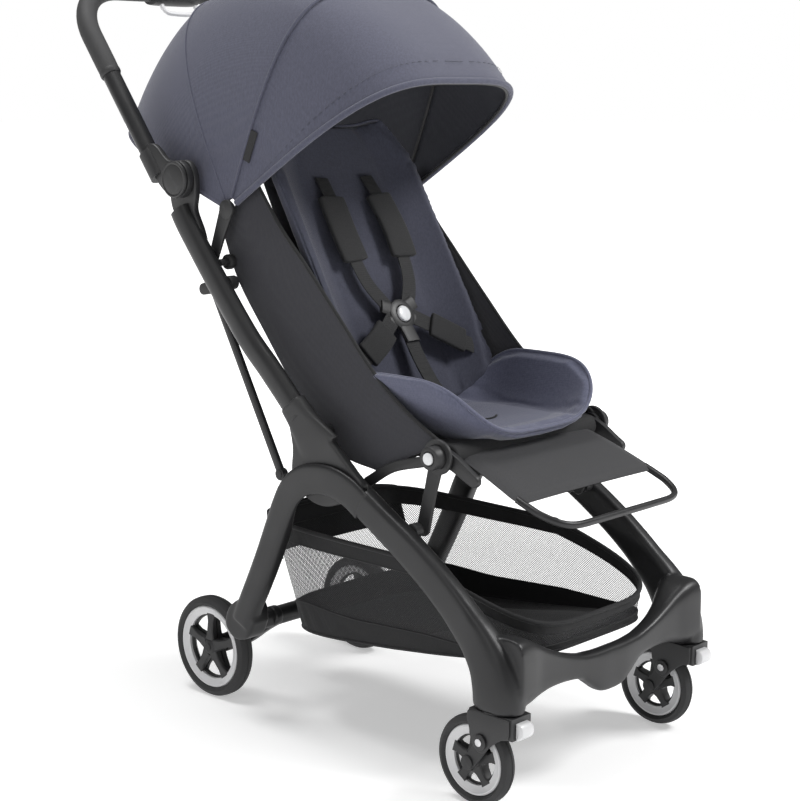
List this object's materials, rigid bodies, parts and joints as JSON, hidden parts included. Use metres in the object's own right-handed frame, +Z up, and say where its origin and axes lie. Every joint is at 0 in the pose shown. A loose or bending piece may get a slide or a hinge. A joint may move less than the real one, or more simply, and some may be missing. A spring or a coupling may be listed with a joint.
{
  "type": "baby stroller",
  "caption": "Compact folding baby stroller with arched scissor legs, swivelling front casters, padded reclining seat, tilting leg rest, hinged canopy and shopping basket.",
  "frame": {"origin": "bottom centre of the bounding box, on the floor between the wheels", "axes": "+Z up; the stroller's front faces -Y; X runs across it, and X = 0 is the mirror plane. Left and right are -X and +X."},
  "size_m": [0.45, 0.9368, 1.0865],
  "materials": {
    "frame_paint": "satin",
    "dark_plastic": "matte",
    "pale_plastic": "satin",
    "tyre_rubber": "matte",
    "grip_foam": "matte",
    "canopy_fabric": "matte",
    "seat_fabric": "matte",
    "black_fabric": "matte"
  },
  "bodies": {
    "front_frame": {"front_leg_left": "frame_paint", "front_leg_right": "frame_paint", "front_bumper": "dark_plastic", "basket": "black_fabric"},
    "upper_frame": {"main_tube_left": "frame_paint", "main_tube_right": "frame_paint", "side_moulding_left": "dark_plastic", "side_moulding_right": "dark_plastic", "elbow_cap_left": "frame_paint", "elbow_cap_right": "frame_paint", "lock_strut_left": "frame_paint", "lock_strut_right": "frame_paint", "canopy_bracket_left": "dark_plastic", "canopy_bracket_right": "dark_plastic", "seat_side_left": "canopy_fabric", "seat_side_right": "canopy_fabric", "canopy_rear_panel": "canopy_fabric"},
    "rear_frame": {"rear_leg_left": "frame_paint", "rear_leg_right": "frame_paint", "rear_beam": "frame_paint"},
    "handlebar": {"handle_tube_left": "frame_paint", "handle_tube_right": "frame_paint", "handle_grip_left": "grip_foam", "handle_grip_right": "grip_foam", "release_housing": "dark_plastic"},
    "release_lever": {"release_lever": "pale_plastic"},
    "seat": {"seat_frame": "dark_plastic", "seat_cushion": "seat_fabric", "seat_stay_left": "frame_paint", "seat_stay_right": "frame_paint"},
    "seat_links": {"seat_link_left": "dark_plastic", "seat_link_right": "dark_plastic"},
    "leg_rest": {"leg_rest_panel": "dark_plastic", "leg_rest_loop": "dark_plastic"},
    "backrest": {"backrest_board": "dark_plastic", "backrest_pad": "seat_fabric", "harness_straps": "black_fabric", "harness_buckle": "dark_plastic"},
    "buckle_button": {"buckle_button": "pale_plastic"},
    "canopy_middle": {"canopy_middle_bow": "frame_paint", "canopy_middle_panel": "canopy_fabric"},
    "canopy_front": {"canopy_front_bow": "frame_paint", "canopy_front_panel": "canopy_fabric"},
    "brake_pedal": {"brake_pedal": "dark_plastic"},
    "rear_wheel_left": {"rear_tyre_left": "tyre_rubber", "rear_wheel_left": "pale_plastic"},
    "front_wheel_left": {"front_tyre_left": "tyre_rubber", "front_wheel_left": "pale_plastic"},
    "caster_left": {"caster_left": "dark_plastic", "reflector_left": "pale_plastic"},
    "fork_left": {"fork_left": "dark_plastic"},
    "leg_rest_button_left": {"leg_rest_button_left": "pale_plastic"},
    "rear_wheel_right": {"rear_tyre_right": "tyre_rubber", "rear_wheel_right": "pale_plastic"},
    "front_wheel_right": {"front_tyre_right": "tyre_rubber", "front_wheel_right": "pale_plastic"},
    "caster_right": {"caster_right": "dark_plastic", "reflector_right": "pale_plastic"},
    "fork_right": {"fork_right": "dark_plastic"},
    "leg_rest_button_right": {"leg_rest_button_right": "pale_plastic"}
  },
  "joints": [
    {"name": "chassis_fold", "type": "hinge", "parent": "front_frame", "child": "upper_frame", "pos_m": [0, -0.1194, 0.396], "axis": [1, 0, 0], "range_deg": [0, 115], "deforming": ["basket", "seat_side_left", "seat_side_right", "canopy_rear_panel", "seat_cushion", "backrest_pad", "harness_straps"]},
    {"name": "rear_fold", "type": "hinge", "parent": "front_frame", "child": "rear_frame", "pos_m": [0, -0.1194, 0.396], "axis": [1, 0, 0], "range_deg": [-66.5, 0]},
    {"name": "handlebar_fold", "type": "hinge", "parent": "upper_frame", "child": "handlebar", "pos_m": [0, 0.1896, 0.785], "axis": [1, 0, 0], "range_deg": [0, 170.5]},
    {"name": "seat_fold", "type": "hinge", "parent": "upper_frame", "child": "seat", "pos_m": [0, -0.0744, 0.445], "axis": [1, 0, 0], "range_deg": [-57.5, 0]},
    {"name": "seat_link_fold", "type": "hinge", "parent": "seat", "child": "seat_links", "pos_m": [0, -0.2774, 0.438], "axis": [1, 0, 0], "range_deg": [0, 90.4]},
    {"name": "backrest_recline", "type": "hinge", "parent": "upper_frame", "child": "backrest", "pos_m": [0, -0.0764, 0.462], "axis": [1, 0, 0], "range_deg": [-25, 0]},
    {"name": "leg_rest_tilt", "type": "hinge", "parent": "seat", "child": "leg_rest", "pos_m": [0, -0.2774, 0.438], "axis": [1, 0, 0], "range_deg": [0, 60]},
    {"name": "canopy_fold", "type": "hinge", "parent": "upper_frame", "child": "canopy_front", "pos_m": [0, 0.1116, 0.744], "axis": [1, 0, 0], "range_deg": [-72, 0], "deforming": ["canopy_front_panel", "canopy_middle_panel", "canopy_front_bow", "canopy_middle_bow"]},
    {"name": "canopy_middle_fold", "type": "hinge", "parent": "upper_frame", "child": "canopy_middle", "pos_m": [0, 0.1116, 0.744], "axis": [1, 0, 0], "range_deg": [-36.5, 0]},
    {"name": "brake_pedal_tilt", "type": "hinge", "parent": "rear_frame", "child": "brake_pedal", "pos_m": [0, 0.0836, 0.138], "axis": [1, 0, 0], "range_deg": [-18, 0]},
    {"name": "release_lever_squeeze", "type": "slide", "parent": "handlebar", "child": "release_lever", "axis": [0, 0.606, 0.7955], "range_m": [0, 0.0028], "stiffness_N_per_m": 400, "springref_m": -0.004},
    {"name": "buckle_button_press", "type": "slide", "parent": "backrest", "child": "buckle_button", "axis": [0, 0.8984, -0.4392], "range_m": [0, 0.0025], "stiffness_N_per_m": 400, "springref_m": -0.003},
    {"name": "rear_wheel_spin_left", "type": "hinge", "parent": "rear_frame", "child": "rear_wheel_left", "pos_m": [-0.158, 0.1866, 0.077], "axis": [1, 0, 0], "continuous": true},
    {"name": "caster_swivel_left", "type": "hinge", "parent": "front_frame", "child": "caster_left", "pos_m": [-0.201, -0.4179, 0.136], "axis": [0, 0, 1], "continuous": true},
    {"name": "suspension_left", "type": "hinge", "parent": "caster_left", "child": "fork_left", "pos_m": [-0.201, -0.4004, 0.095], "axis": [1, 0, 0], "range_deg": [0, 8], "stiffness_Nm_per_rad": 25, "springref_deg": -6.88},
    {"name": "front_wheel_spin_left", "type": "hinge", "parent": "fork_left", "child": "front_wheel_left", "pos_m": [-0.201, -0.3754, 0.06], "axis": [1, 0, 0], "continuous": true},
    {"name": "leg_rest_button_press_left", "type": "slide", "parent": "seat", "child": "leg_rest_button_left", "axis": [1, 0, 0], "range_m": [0, 0.001], "stiffness_N_per_m": 400, "springref_m": -0.003},
    {"name": "rear_wheel_spin_right", "type": "hinge", "parent": "rear_frame", "child": "rear_wheel_right", "pos_m": [0.158, 0.1866, 0.077], "axis": [1, 0, 0], "continuous": true},
    {"name": "caster_swivel_right", "type": "hinge", "parent": "front_frame", "child": "caster_right", "pos_m": [0.201, -0.4179, 0.136], "axis": [0, 0, 1], "continuous": true},
    {"name": "suspension_right", "type": "hinge", "parent": "caster_right", "child": "fork_right", "pos_m": [0.201, -0.4004, 0.095], "axis": [1, 0, 0], "range_deg": [0, 8], "stiffness_Nm_per_rad": 25, "springref_deg": -6.88},
    {"name": "front_wheel_spin_right", "type": "hinge", "parent": "fork_right", "child": "front_wheel_right", "pos_m": [0.201, -0.3754, 0.06], "axis": [1, 0, 0], "continuous": true},
    {"name": "leg_rest_button_press_right", "type": "slide", "parent": "seat", "child": "leg_rest_button_right", "axis": [-1, 0, 0], "range_m": [0, 0.001], "stiffness_N_per_m": 400, "springref_m": -0.003}
  ],
  "couplings": [
    {"joint": "rear_fold", "follows": "chassis_fold", "ratio": -0.57391},
    {"joint": "handlebar_fold", "follows": "chassis_fold", "ratio": 1.4783},
    {"joint": "seat_fold", "follows": "chassis_fold", "ratio": -0.49565},
    {"joint": "seat_link_fold", "follows": "chassis_fold", "ratio": 0.78174},
    {"joint": "canopy_middle_fold", "follows": "canopy_fold", "ratio": 0.5}
  ]
}
